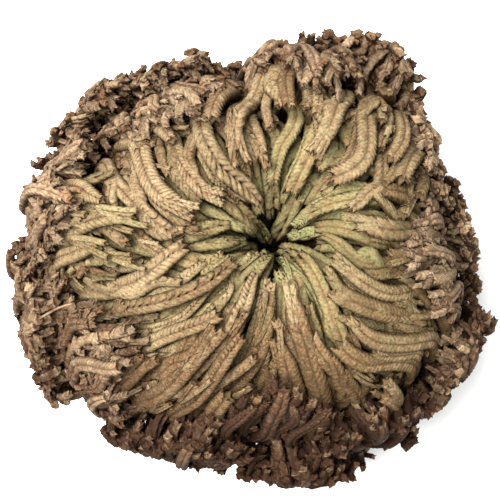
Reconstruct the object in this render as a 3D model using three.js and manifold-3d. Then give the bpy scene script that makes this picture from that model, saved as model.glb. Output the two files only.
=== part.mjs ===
// A rose of Jericho (the resurrection plant Selaginella lepidophylla), dry and curled into a ball.
// Millimetres, +Z up. The origin is the middle of the small flat spot under the root tuft, on which it
// rests.
//
// The plant is a rosette. Its fronds leave a short crown one by one, a golden angle apart, the oldest
// lowest and outermost. Each has dried into a hook: out from the crown, up the side, and over towards the
// dark pit in the middle of the top. It is a fan of scaly strands: a rib, and on either side of it the
// branches that have left it lower down. The old fronds are short and wide and end round the rim. The
// young ones are long and narrow and close in on the pit.

import * as THREE from 'three';
import { mergeVertices } from 'three/addons/utils/BufferGeometryUtils.js';
import Module from 'manifold-3d';

const { clamp, degToRad, euclideanModulo, lerp, radToDeg, smoothstep } = THREE.MathUtils;

// ---- Driving dimensions -------------------------------------------------------------------------------

const FROND_COUNT = 48;
const GOLDEN_ANGLE = 137.508; // degrees from one frond to the next
const FIRST_AZIMUTH = 3; // degrees

// Radius and height of the curl that the oldest and the youngest frond follow, crown to pit. Every other
// frond follows a blend of the two by its age, so no two of them meet.
const OLDEST_CURL = [
  [8.8, 8.5], [17, 7], [27, 9.5], [34.5, 15.5], [38.3, 24], [39, 33], [37.5, 42],
  [33.5, 50], [27, 57], [18.5, 60.5], [10.5, 58.5], [5.5, 52], [4, 44],
];
const YOUNGEST_CURL = [
  [4, 22.5], [8, 23.5], [11.5, 25.5], [14, 28.5], [15.6, 32], [16.2, 35.5], [15.8, 38.4],
  [14, 41], [11.5, 42], [8.8, 41.3], [6, 39], [3.6, 35.5], [1.9, 31],
];

// Where along the curl a frond ends, from the oldest to the youngest, and how far that varies.
const REACH = [0.47, 0.56, 0.68, 0.79, 0.87, 0.93, 0.98];
const REACH_SPREAD = 0.04;
const LOW_SIDE = { azimuth: 270, spread: 50, least: 0.05, until: [0.2, 0.4] }; // where old fronds are shorter
const SWAY = 7; // degrees that a frond bows to one side at most, half way along

// How many strands a frond has on either side of its rib, up to which age, how much wider they are and
// further out their tips stand than on a young frond, and how much shorter each rank is than the rib, as a
// share of the curl that grows with the square of the rank.
const KINDS = [
  { name: 'old', until: 0.34, ranks: 4, wider: 1.2, flick: 0.9, short: 0.008, rings: 4 },
  { name: 'middle', until: 0.6, ranks: 3, wider: 1, flick: 0, short: 0.015, rings: 5 },
  { name: 'young', until: 1, ranks: 2, wider: 1, flick: 0, short: 0.03, rings: 5 },
];

// How the ball has settled: swellings of its outline (azimuth, spread, share of the radius), the cleft
// between its two upper lobes, how far the top leans from the root tuft, how far the pit lies from the
// middle of the top, how far the strands on top drift round it, and the low waves over the top. Each pair
// gives the radii or heights between which it comes in, or for the pit the radii between which it goes.
const SWELLINGS = [
  [58, 12, 0.035], [334, 18, 0.08], [307, 7, 0.1], [292, 8, 0.03], [268, 9, -0.07], [200, 36, 0.08],
  [224, 12, 0.04], [165, 7, 0.09], [14, 26, -0.12], [120, 20, -0.075],
];
const SWOLLEN = [6, 34];
const CLEFT = {
  azimuth: 100, spread: 7, heights: [12, 34], depth: 6, deepens: [16, 38], dip: 5, dips: [12, 30],
};
const LEAN = { x: 3.4, y: 2.8, heights: [22, 52], radii: [5, 20], least: 0.75 };
const PIT = { x: 2.8, y: 1.3, heights: [22, 36], goes: [4, 26] };
const DRIFT = { most: degToRad(-12), azimuth: degToRad(20), comes: [3, 14], goes: [16, 34] };
const LUMP = { height: 1, x: 7, y: 8, shiftX: 0.8, shiftY: -0.4 };
const HIGH = [8, 52]; // heights between which the drift and the waves come in

// Scaly branches. A strand leaves the rib at t, the outer ranks first, swings out to its lane, and runs
// on beside the rib. The fan is round at the top, and no strand goes past its STRAND_ENDS.
const RIB = { half: 1.05, rise: 1.4 };
const STRAND = { half: 1.15, rise: 1.25, pitch: 2.4, from: 0.38, apart: 0.055, swing: 0.02 };
const STRAND_ENDS = [1, 1, 0.79, 0.66, 0.6];
const ROOT_WIDTH = 0.3; // of the full width, where a branch leaves its rib
const TOOTH = 0.68; // how far a side steps in between two rows of leaves
const FORK = [1.3, 0.8]; // how far the two points of a ragged tip stand out
const FLICK_FROM = 0.6; // share of a strand from which an old one turns outwards
const RIB_RINGS = [4, 10]; // rings of the shortest and the longest rib that there could be
const CLOSING = 14; // radius inside which a frond narrows, for the circle of them closes in on the pit

// The crown and the mat of roots under it, as radius and height, and the rootlets that leave the mat.
const CROWN_PROFILE = [
  [0, 0], [11, 0], [13.2, 1.2], [12.6, 3.2], [9.6, 4.6], [8, 7.4], [3.3, 22.2], [0, 23],
];
const CROWN_SIDES = 18;
const ROOTLET = {
  count: 18, half: 0.6, taper: [1.4, 0.8], rise: 0.9, inner: 9, outer: [15.6, 19], start: [1.6, 3],
  lowest: 0.25, arch: 0.9, bend: 0.35,
};

const COLOURS = { old: '#6d523c', middle: '#a58a61', young: '#9a9766', root: '#4a382b' };

// ---- Where things lie ----------------------------------------------------------------------------------

const oldestCurl = new THREE.SplineCurve(OLDEST_CURL.map(([r, z]) => new THREE.Vector2(r, z)));
const youngestCurl = new THREE.SplineCurve(YOUNGEST_CURL.map(([r, z]) => new THREE.Vector2(r, z)));
const reachByAge = new THREE.SplineCurve(REACH.map((t) => new THREE.Vector2(t, 0)));

// Radius and height at t along the curl, 0 at the crown and 1 in the pit, for a frond of that age.
function curl(t, age) {
  return oldestCurl.getPoint(clamp(t, 0, 1)).lerp(youngestCurl.getPoint(clamp(t, 0, 1)), age);
}

// A repeatable draw from 0 to 1 for two whole numbers.
function draw(a, b) {
  const s = Math.sin(a * 127.1 + b * 311.7) * 43758.5453;
  return s - Math.floor(s);
}

// How much of a swelling or cleft centred on one azimuth is felt at another, all in degrees.
function felt(azimuth, centre, spread) {
  const away = (euclideanModulo(azimuth - centre + 180, 360) - 180) / spread;
  return Math.exp(-away * away);
}

// Moves a point of the even ball to where it lies in the settled one. It is smooth and keeps order, so
// what doesn't meet before doesn't meet after, and it leaves the flat spot flat.
function settle({ x, y, z }) {
  const radius = Math.hypot(x, y);
  const azimuth = Math.atan2(y, x);
  const degrees = radToDeg(azimuth);
  const high = smoothstep(z, ...HIGH);
  const cleft = felt(degrees, CLEFT.azimuth, CLEFT.spread) * smoothstep(z, ...CLEFT.heights);
  let swell = 0;
  for (const [centre, spread, share] of SWELLINGS) swell += share * felt(degrees, centre, spread);
  const swollen = radius * (1 + swell * smoothstep(radius, ...SWOLLEN));
  const reach = swollen - CLEFT.depth * cleft * smoothstep(radius, ...CLEFT.deepens);
  const drift = DRIFT.most * Math.cos(azimuth - DRIFT.azimuth) * high * smoothstep(radius, ...DRIFT.comes);
  const turned = azimuth + drift * (1 - smoothstep(radius, ...DRIFT.goes));
  const lean = smoothstep(z, ...LEAN.heights) * lerp(LEAN.least, 1, smoothstep(radius, ...LEAN.radii));
  const inner = smoothstep(z, ...PIT.heights) * (1 - smoothstep(radius, ...PIT.goes));
  const lump = Math.sin(x / LUMP.x + LUMP.shiftX) * Math.cos(y / LUMP.y + LUMP.shiftY);
  return new THREE.Vector3(
    reach * Math.cos(turned) + LEAN.x * lean + PIT.x * inner,
    reach * Math.sin(turned) + LEAN.y * lean + PIT.y * inner,
    z + LUMP.height * lump * high - CLEFT.dip * cleft * smoothstep(radius, ...CLEFT.dips),
  );
}

// A frond's place: its age from 0 to 1, its azimuth, its sway, and where on the curl it ends.
function frondPlan(index) {
  const age = index / (FROND_COUNT - 1);
  const degrees = FIRST_AZIMUTH + index * GOLDEN_ANGLE;
  const low = felt(degrees, LOW_SIDE.azimuth, LOW_SIDE.spread) * (1 - smoothstep(age, ...LOW_SIDE.until));
  return {
    index,
    age,
    azimuth: degToRad(degrees),
    sway: degToRad(SWAY * lerp(-1, 1, draw(index, 1))),
    tip: reachByAge.getPoint(age).x + REACH_SPREAD * (draw(index, 2) - 0.5) - LOW_SIDE.least * low,
  };
}

// How much narrower a frond and its strands are at that radius.
function squeeze(radius) {
  return Math.min(1, radius / CLOSING);
}

// The point at t along a frond, moved sideways and outwards by millimetres, and the way out from there.
function spot(frond, [t, sideways, outwards]) {
  const here = curl(t, frond.age);
  const step = 0.004;
  const run = curl(t + step, frond.age).sub(curl(t - step, frond.age)).normalize();
  const sway = frond.sway * Math.sin(Math.PI * Math.min(t, 1));
  const azimuth = frond.azimuth + sway + (sideways * squeeze(here.x)) / here.x;
  const radial = new THREE.Vector3(Math.cos(azimuth), Math.sin(azimuth), 0);
  const out = radial.clone().multiplyScalar(run.y).add(new THREE.Vector3(0, 0, -run.x));
  const at = radial.multiplyScalar(here.x).add(new THREE.Vector3(0, 0, here.y));
  return { at: at.addScaledVector(out, outwards), out, width: squeeze(here.x) };
}

// ---- Solids --------------------------------------------------------------------------------------------

const wasm = await Module();
wasm.setup();

function solidOf(geometry) {
  const bare = geometry.clone();
  bare.deleteAttribute('normal');
  bare.deleteAttribute('uv');
  const merged = mergeVertices(bare, 1e-4);
  return new wasm.Manifold(new wasm.Mesh({
    numProp: 3,
    vertProperties: merged.attributes.position.array,
    triVerts: new Uint32Array(merged.index.array),
  }));
}

function geometryOf(solid) {
  const { vertProperties, triVerts } = solid.getMesh();
  const geometry = new THREE.BufferGeometry();
  geometry.setAttribute('position', new THREE.BufferAttribute(new Float32Array(vertProperties), 3));
  geometry.setIndex(new THREE.BufferAttribute(new Uint32Array(triVerts), 1));
  geometry.computeVertexNormals();
  return geometry;
}

function joined(geometries) {
  return geometries.map(solidOf).reduce((whole, part) => whole.add(part));
}

// A closed tube through rings of equally many points, each ring turning the same way round.
function tube(rings) {
  const count = rings[0].length;
  const faces = [];
  for (let i = 0; i + 1 < rings.length; i += 1) {
    for (let j = 0; j < count; j += 1) {
      const [a, b] = [i * count + j, i * count + ((j + 1) % count)];
      faces.push(a, b, a + count, b, b + count, a + count);
    }
  }
  const last = (rings.length - 1) * count;
  for (let j = 1; j + 1 < count; j += 1) {
    faces.push(0, j + 1, j, last, last + j, last + j + 1);
  }
  const geometry = new THREE.BufferGeometry().setFromPoints(rings.flat().map(settle));
  geometry.setIndex(faces);
  return geometry;
}

// A scaly branch of a frond along route(u), u from 0 to 1: flat below, ridged above, with sides that step
// in and out in turn as its two rows of leaves do, narrow at its root and ragged at its tip.
function scalyBranch(frond, route, { half, rise, rings }) {
  const spots = [];
  for (let i = 0; i <= rings; i += 1) spots.push(spot(frond, route(i / rings)));
  return tube(spots.map(({ at, out, width }, i) => {
    const along = spots[Math.min(i + 1, rings)].at.clone().sub(spots[Math.max(i - 1, 0)].at).normalize();
    const side = new THREE.Vector3().crossVectors(along, out).normalize();
    const up = new THREE.Vector3().crossVectors(side, along);
    const fill = i === 0 && route(0)[0] > 0 ? ROOT_WIDTH : width;
    const [left, right] = i % 2 ? [1, TOOTH] : [TOOTH, 1];
    const ragged = i === rings ? width : 0;
    const height = rise * (i === rings ? 0.5 : lerp(0.5, 1, width));
    return [
      at.clone().addScaledVector(side, -half * fill * left).addScaledVector(along, FORK[0] * ragged),
      at.clone().addScaledVector(up, height),
      at.clone().addScaledVector(side, half * fill * right).addScaledVector(along, FORK[1] * ragged),
    ];
  }));
}

// ---- Fronds --------------------------------------------------------------------------------------------

function kindOf({ age }) {
  return KINDS.find(({ until }) => age <= until);
}

// A strand beside the rib: leaves it, swings out to its lane and runs on to its own end.
function strand(frond, rank, side) {
  const { wider, flick, short, rings } = kindOf(frond);
  const lane = side * rank * STRAND.pitch * wider;
  const from = STRAND.from - STRAND.apart * rank;
  const early = short * rank * rank + REACH_SPREAD * draw(frond.index, 20 + 3 * rank + side);
  const to = Math.min(frond.tip - early, STRAND_ENDS[rank]);
  const swing = (STRAND.swing * (rank + 1.5)) / (to - from);
  const out = flick * draw(frond.index, 50 + 3 * rank + side);
  const route = (u) => [
    lerp(from, to, u),
    lane * smoothstep(u, 0, swing),
    out * smoothstep(u, FLICK_FROM, 1),
  ];
  return scalyBranch(frond, route, { half: STRAND.half * wider, rise: STRAND.rise, rings });
}

// The rib with all that it carries, joined in one solid.
function frondSolid(frond) {
  const rings = Math.round(lerp(...RIB_RINGS, frond.tip));
  const branches = [scalyBranch(frond, (u) => [frond.tip * u, 0, 0], { ...RIB, rings })];
  for (let rank = 1; rank <= kindOf(frond).ranks; rank += 1) {
    branches.push(strand(frond, rank, -1), strand(frond, rank, 1));
  }
  return joined(branches);
}

// ---- Crown and roots -----------------------------------------------------------------------------------

// A rootlet of the tuft: leaves the mat, arches a little, and comes down to lie beside the flat spot.
function rootlet(index) {
  const azimuth = ((index + 0.5 * draw(index, 31)) / ROOTLET.count) * 2 * Math.PI;
  const outer = lerp(...ROOTLET.outer, draw(index, 32));
  const bend = ROOTLET.bend * lerp(-1, 1, draw(index, 33));
  const start = lerp(...ROOTLET.start, draw(index, 34));
  return tube([0, 0.5, 1].map((u) => {
    const radius = lerp(ROOTLET.inner, outer, u);
    const turn = azimuth + bend * u * u;
    const width = (ROOTLET.half * lerp(...ROOTLET.taper, u)) / radius;
    const height = lerp(start, ROOTLET.lowest, u) + ROOTLET.arch * Math.sin(Math.PI * u);
    return [[turn + width, height], [turn, height + ROOTLET.rise], [turn - width, height]].map(
      ([angle, z]) => new THREE.Vector3(radius * Math.cos(angle), radius * Math.sin(angle), z),
    );
  }));
}

// The short crown that the fronds leave, standing on the tuft of matted roots. Its flat underside is the
// spot on which the ball rests.
function crownSolid() {
  const profile = CROWN_PROFILE.map(([r, z]) => new THREE.Vector2(r, z));
  const parts = [new THREE.LatheGeometry(profile, CROWN_SIDES).rotateX(Math.PI / 2)];
  for (let index = 0; index < ROOTLET.count; index += 1) parts.push(rootlet(index));
  return joined(parts);
}

// ---- The part ------------------------------------------------------------------------------------------

const rose = new THREE.Group();

function addNode(name, solid, colour) {
  const material = new THREE.MeshStandardMaterial({ color: colour, roughness: 0.9, metalness: 0 });
  const mesh = new THREE.Mesh(geometryOf(solid), material);
  mesh.name = name;
  rose.add(mesh);
}

addNode('root_crown', crownSolid(), COLOURS.root);
for (let index = 0; index < FROND_COUNT; index += 1) {
  const frond = frondPlan(index);
  addNode(`frond_${String(index + 1).padStart(2, '0')}`, frondSolid(frond), COLOURS[kindOf(frond).name]);
}

export default rose;
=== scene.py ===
"""The looks of a dry rose of Jericho: scaly fronds curled over a dark pit, on a tuft of matted roots.

Every frond of the frame is dressed by one finer piece that follows the same curl: its rib, the strands
beside it with their ragged tips, the short sprigs on old strands, and loose shoots that lie over the rest.
Lengths are millimetres until a mesh is made, and metres after that. Azimuths in the tables are degrees.
"""

import math

import bpy
import numpy as np
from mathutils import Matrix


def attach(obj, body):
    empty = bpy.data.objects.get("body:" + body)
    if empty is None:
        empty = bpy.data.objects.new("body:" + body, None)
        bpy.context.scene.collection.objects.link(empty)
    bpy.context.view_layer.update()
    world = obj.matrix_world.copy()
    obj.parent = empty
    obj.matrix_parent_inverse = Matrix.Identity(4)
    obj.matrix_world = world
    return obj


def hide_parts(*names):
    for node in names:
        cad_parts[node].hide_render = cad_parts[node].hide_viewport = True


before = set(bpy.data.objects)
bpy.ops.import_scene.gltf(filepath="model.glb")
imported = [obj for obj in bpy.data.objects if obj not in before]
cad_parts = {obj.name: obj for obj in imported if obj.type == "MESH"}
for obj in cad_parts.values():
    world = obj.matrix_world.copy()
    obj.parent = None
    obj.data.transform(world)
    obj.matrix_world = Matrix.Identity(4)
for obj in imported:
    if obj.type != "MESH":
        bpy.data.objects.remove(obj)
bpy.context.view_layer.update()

MILLIMETRE = 0.001  # in metres
FULL_TURN = 2 * math.pi

# ---- The plan of the plant, as its solids have it ----

FROND_COUNT = 48
GOLDEN_ANGLE = 137.508
FIRST_AZIMUTH = 3
OLDEST_CURL = [
    (8.8, 8.5), (17, 7), (27, 9.5), (34.5, 15.5), (38.3, 24), (39, 33), (37.5, 42),
    (33.5, 50), (27, 57), (18.5, 60.5), (10.5, 58.5), (5.5, 52), (4, 44),
]
YOUNGEST_CURL = [
    (4, 22.5), (8, 23.5), (11.5, 25.5), (14, 28.5), (15.6, 32), (16.2, 35.5), (15.8, 38.4),
    (14, 41), (11.5, 42), (8.8, 41.3), (6, 39), (3.6, 35.5), (1.9, 31),
]
REACH = [0.47, 0.56, 0.68, 0.79, 0.87, 0.93, 0.98]  # how far along its curl a frond ends, by its age
REACH_SPREAD = 0.04
LOW_SIDE = dict(azimuth=270, spread=50, least=0.05, until=(0.2, 0.4))
SWAY = 7

# What a frond carries at each age. Ranks are the strands on either side of its rib, and wider, flick and
# short are as in the solids. Forked is the share of strands that end in two prongs, shoots are the loose
# ones that lie over the rest, and the buried share is hidden under older fronds.
KINDS = [
    dict(
        name="old", until=0.34, ranks=4, wider=1.2, flick=0.9, short=0.008, forked=0, shoots=0, buried=0.1,
    ),
    dict(
        name="middle", until=0.6, ranks=3, wider=1, flick=0, short=0.015, forked=0.5, shoots=3, buried=0.4,
    ),
    dict(
        name="young", until=1, ranks=2, wider=1, flick=0, short=0.03, forked=0.15, shoots=1, buried=0.5,
    ),
]

# Lobes and hollows of the ball: azimuth, spread, and how much wider it is there, as a share.
SWELLINGS = [
    (58, 12, 0.035), (334, 18, 0.08), (307, 7, 0.1), (292, 8, 0.03), (268, 9, -0.07), (200, 36, 0.08),
    (224, 12, 0.04), (165, 7, 0.09), (14, 26, -0.12), (120, 20, -0.075),
]
SWOLLEN = (6, 34)
CLEFT = dict(azimuth=100, spread=7, heights=(12, 34), depth=6, deepens=(16, 38), dip=5, dips=(12, 30))
LEAN = dict(x=3.4, y=2.8, heights=(22, 52), radii=(5, 20), least=0.75)
PIT = dict(x=2.8, y=1.3, heights=(22, 36), goes=(4, 26))
DRIFT = dict(most=math.radians(-12), azimuth=math.radians(20), comes=(3, 14), goes=(16, 34))
LUMP = dict(height=1, x=7, y=8, shift_x=0.8, shift_y=-0.4)
HIGH = (8, 52)

STRAND = dict(pitch=2.4, start=0.38, apart=0.055, swing=0.02)
STRAND_ENDS = np.array([1, 1, 0.79, 0.66, 0.6])
CLOSING = 14

# ---- Finer than the solids ----

POINTS = 64  # along a rope's path
OUTER = 0.3  # how far out the points lie that tell a branch its outer side
WAVE_PHASES = 6.3  # how much the phases of the ropes' waves differ

# A rope's half width, half height and height above the curl, how much narrower an old one is, and how
# long a row of its scales is, with how many times that on an old one.
ROPE = dict(half=1.28, rise=0.98, lift=0.6, old_half=0.85, row=0.78, old_row=1.25)
ROPE_WIDTHS = (0.85, 1.18)
ROPE_HEIGHTS = (0.85, 1.1)

# Every other rope of a fan lies higher than the rest, and is wider and drier.
WEAVE = dict(
    lift=dict(old=0.35, middle=0.8, young=0.8), wider=dict(old=0.1, middle=0.24, young=0.2), drier=0.15,
)
DRY_GROOVE = 0.45  # how deep the seam of a drier rope is at least
CEILING = dict(height=53, keeps=0.6)  # above that height a rope keeps this share of what it rises
NARROWEST = 0.94  # of the full width, where a rope dives into the pit
DIVE = 1.6  # how far the strands beside a rib sink under it at the pit
OPENING = 0.03  # how far before its solid a young frond ends, as a share of its length
OPENED = (0.55, 0.9)  # between these ages
WANDER = 0.85  # how far a rope strays to the side
WANDER_WAVES = (5, 11)  # and in how long waves, in radians over its length
RIPPLE = 0.2  # how far it rises and falls
RIPPLE_WAVES = (6, 12)
BEND = 5.2  # how far a whole fan turns to one side towards its tips
BEND_FROM = dict(age=0.3, t=0.5)

# Azimuth and spread where the fans turn alike, and how far, as a share of the bend.
TURNED = [(228, 18, 0.3), (196, 15, 0.15), (50, 20, -0.35)]

TIP_LIFT = (0.1, 0.6)  # how far a tip stands off the ropes under it
TIP_SPLAY = 1.6  # how far it turns to the side
TAPER = 4.5  # over how much of its length a rope narrows to its tip

# The two prongs of a forked tip: how far back they start and on they go, as shares of the frond, how far
# aside they lie at either end, how high, and how thick they are beside the rope.
PRONG = dict(
    back=0.08, backs=(0.6, 1.1), on=0.018, ons=(-0.5, 1.5), aside=(0.2, 0.95), up=0.25, rise=0.3,
    width=0.62, height=0.75, points=16, rows=6,
)

# Loose shoots: how far before the frond's tip they end, how long they are, where they start across the
# fan and how far they cross it, how deep they start and how high they end, how wide they are beside a
# rope, and how many of them fork.
SHOOT = dict(
    before=(0.02, 0.26), length=(0.12, 0.24), across=(-0.8, 0.8), crossing=(-3.6, 3.6), climb=(-0.9, 0.85),
    half=0.92, forked=0.4,
)

TUFT = np.array([0.3, 0.9, 1.6, 2.3, 3.1, 4, 5, 6.2])  # how far below a tip the sprigs of its tuft start
CLOSING_SPRIGS = (8, 26, 1)  # one more row low on a rib, in the bottom of the ball: from, to and how often

# Feathers, the sprigs along a strand. The pairs called until, near and inward, and the last two of leans,
# are for where the wall is full and where it is thin.
FEATHER = dict(
    first=(5, 2.5),  # how far up the rib and the other strands they start
    low_until=(0.36, 0.47), low_near=(1.1, 0.7), high_near=(1.6, 0.7), middle_until=0.57,
    length=(2.4, 3.8), low_rib=2.7, outermost=1.5, thin_inward=1.3,  # the last three as times that length
    slant=(0.55, 1), turns_back=0.45, climb=(0.1, 1), leans=(-0.8, -4.6, -6.5), inward=(0.55, 0.85),
)
TUFTED = dict(length=(1.6, 3), lean=(0.9, 2.6), aside=0.8, up=0.75, inward=0.35)
SPRIG = dict(half=(0.36, 0.8), inward_half=1.25, rise=0.8, rows=5, points=8, tooth=0.9)
WALL_RADIUS = 36

# Azimuths and spreads where the wall of old fronds is thin and the sprigs stand closer.
THIN_WALL = [(238, 13), (180, 11), (213, 11), (51, 13), (357, 8), (275, 7), (297, 8), (329, 7), (84, 7)]

# A stray stem on one frond: where it lies along the curl and across it, how high, and how far it bows.
STEM = dict(frond=4, t=(0.45, 0.59), lane=(1.6, 0.6), lift=(1.8, -0.5), bow=0.8, half=0.3, tip=0.6)

# ---- Where the colours change ----

# Where the old fronds and the others are browner or paler: azimuth and spread, and how much. The browner
# places are partly their own colour and partly painted shade, and the paler places are painted light.
OLD_TONES_AND_PAINTED_LIGHT = [(272, 46, 1.15), (8, 32, -0.9), (145, 25, -0.4), (180, 50, -0.2), (90, 35, -0.25)]
TONES_AND_PAINTED_LIGHT = [(272, 42, 1), (5, 36, 0.4), (180, 50, -0.2), (90, 40, 0.1)]
TONED = (12, 19)  # radii between which that comes on

# Painted shade, where it is darker from some radius outwards: azimuth and spread, the radii, and how much.
# Less than nothing takes that painted shade back, and where the sum stays below nothing it makes the
# ropes paler, as painted light.
PAINTED_SHADE_ZONES = [
    ((272, 34), (20, 26), 0.65), ((322, 24), (26, 31), 0.45), ((303, 14), (18, 22), 0.45),
    ((240, 12), (25, 28), 0.35), ((222, 14), (34, 37), 0.4), ((355, 26), (3, 6), 0.25),
    ((266, 30), (2, 4), -0.6), ((266, 30), (11, 14), 0.6), ((180, 100), (2, 4), -0.5),
    ((180, 100), (9, 12), 0.5), ((90, 25), (25, 28), 0.2), ((90, 25), (32, 34), -0.3),
    ((358, 24), (31, 33), -0.35),
]
DEEPER_SIDE_SHADE = (338, 50)  # azimuth and spread where the painted shade on the ropes' sides is deeper
SMOOTH_SIDE = (60, 62)  # azimuth and spread where the middle ropes show no braid
GREENS = [(187, 9, 0.7), (15, 45, 0.3), (320, 25, 0.2)]  # where it is greener inside the rim
GREEN_UNTIL = (24, 32)  # radii between which that ends
YOUTH = (0.42, 0.95)  # ages between which fronds turn green and smooth

# ---- Scale leaves ----

# Rings of one scale: how far along it each lies, how full it is, and how light, as painted shade at its
# base.
FINE_SCALE = np.array([(-0.1, -1.0, 0.0), (0.4, 0.0, 0.8), (0.97, 0.5, 1.0)])
PLAIN_SCALE = np.array([(0.0, -2.0, 0.15), (0.85, 1.0, 1.0)])
RELIEF = 0.07  # how far a scale rises and falls, as a share of the branch's half width
TIP_RELIEF = dict(start=0.86, times=2)  # it grows to so many times that from there to the tip
GAP = 0.85  # how much flatter the gaps of a braid are than its scales, and how much less painted shade they get
SKEW = 1.5  # how far the sides of a row run ahead of its middle, in rows
BRAIDED_SKEW = 0.5
STAGGER = 0.25  # how far one side of a row runs ahead of the middle and the other behind it, in rows
STRAY = 0.35  # how far a point strays along the branch, in rows
UNEVEN = (0.97, 1.03)  # and how much it strays in and out
SHOULDER = 0.35  # how deep the points beside a seam lie, as a share of the seam

# The last ring is cut into uneven teeth, every other one pointing back and flaring less. The ring inside
# follows them by a share, is smaller, and like the cap is sunk for a full tip and for a hollow one.
TEETH = dict(back=-0.7, ragged=(0.2, 1.6), flare=0.12, follow=0.45, sink=(0.25, -0.1), inner=0.6)
CAP_SINK = (-0.4, 0.7)

# Where the points of a ring lie round a branch. A seam has two points close beside the topmost one.
SEAMED = math.pi / 2 - np.array([0, 0.22, 0.75, 1.25, 1.8, 2.5, math.pi, 3.8, 4.5, 5.03, 5.53, 6.06])
PLAIN = math.pi / 2 - np.arange(7) * FULL_TURN / 7
ROUND = math.pi / 2 - np.arange(5) * FULL_TURN / 5
TOPMOST = 0.999  # the sine above which a point is the topmost one
BESIDE_TOPMOST = 0.97

SHADE_AND_MOTTLE, GREEN, TONE, RUST = range(4)  # the channels of a finish; the first is painted shade with some mottle


def smoothstep(x, low, high):
    """0 below low, 1 above high, and 3u^2 - 2u^3 between them, u being the share of the way."""
    u = np.clip((x - low) / (high - low), 0, 1)
    return u * u * (3 - 2 * u)


def lerp(a, b, u):
    return a + (b - a) * u


def draw(a, b):
    """A repeatable draw from 0 to 1 for two numbers: the fraction of a large multiple of a sine."""
    s = np.sin(a * 127.1 + b * 311.7) * 43758.5453
    return s - np.floor(s)


def columns(chance, keys):
    """A function that draws one trait for each of the keys, as a column."""
    return lambda trait: chance(keys, trait)[:, None]


def spline(points, t):
    """Uniform Catmull-Rom curve through the points, at each t from 0 to 1."""
    points = np.asarray(points, float)
    last = len(points) - 1
    place = np.clip(t, 0, 1) * last
    i = np.floor(place).astype(int)
    w = (place - i)[..., None]
    p0, p1, p2, p3 = (points[np.clip(i + k, 0, last)] for k in (-1, 0, 1, 2))
    v0, v1 = (p2 - p0) / 2, (p3 - p1) / 2
    return (2 * p1 - 2 * p2 + v0 + v1) * w**3 + (3 * p2 - 3 * p1 - 2 * v0 - v1) * w**2 + v0 * w + p1


def curl(t, age):
    """Radius and height along the curl of a frond of that age, from the crown to the pit."""
    return lerp(spline(OLDEST_CURL, t), spline(YOUNGEST_CURL, t), age)


def felt(degrees, centre, spread):
    """How much of a swelling at one azimuth is felt at another: a bell curve over the angle between."""
    away = ((degrees - centre + 180) % 360 - 180) / spread
    return np.exp(-away * away)


def all_felt(degrees, places):
    """The sum of what is felt there of several places, each an azimuth, a spread and an amount."""
    return sum(amount * felt(degrees, centre, spread) for centre, spread, amount in places)


def settle(points):
    """Where points of the even ball lie in the settled one: lobes, a cleft, a leaning top, a slow drift."""
    x, y, z = points[..., 0], points[..., 1], points[..., 2]
    radius, azimuth = np.hypot(x, y), np.arctan2(y, x)
    degrees = np.degrees(azimuth)
    high = smoothstep(z, *HIGH)
    cleft = felt(degrees, CLEFT["azimuth"], CLEFT["spread"]) * smoothstep(z, *CLEFT["heights"])
    swollen = radius * (1 + all_felt(degrees, SWELLINGS) * smoothstep(radius, *SWOLLEN))
    reach = swollen - CLEFT["depth"] * cleft * smoothstep(radius, *CLEFT["deepens"])
    drift = DRIFT["most"] * np.cos(azimuth - DRIFT["azimuth"]) * high * smoothstep(radius, *DRIFT["comes"])
    turned = azimuth + drift * (1 - smoothstep(radius, *DRIFT["goes"]))
    lean = smoothstep(z, *LEAN["heights"]) * lerp(LEAN["least"], 1, smoothstep(radius, *LEAN["radii"]))
    inner = smoothstep(z, *PIT["heights"]) * (1 - smoothstep(radius, *PIT["goes"]))
    lump = np.sin(x / LUMP["x"] + LUMP["shift_x"]) * np.cos(y / LUMP["y"] + LUMP["shift_y"])
    dip = CLEFT["dip"] * cleft * smoothstep(radius, *CLEFT["dips"])
    return np.stack(
        [
            reach * np.cos(turned) + LEAN["x"] * lean + PIT["x"] * inner,
            reach * np.sin(turned) + LEAN["y"] * lean + PIT["y"] * inner,
            z + LUMP["height"] * lump * high - dip,
        ],
        axis=-1,
    )


def squeeze(radius):
    """How much narrower a frond and its strands are there, for the circle of them closes in on the pit."""
    return np.minimum(1, radius / CLOSING)


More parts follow.
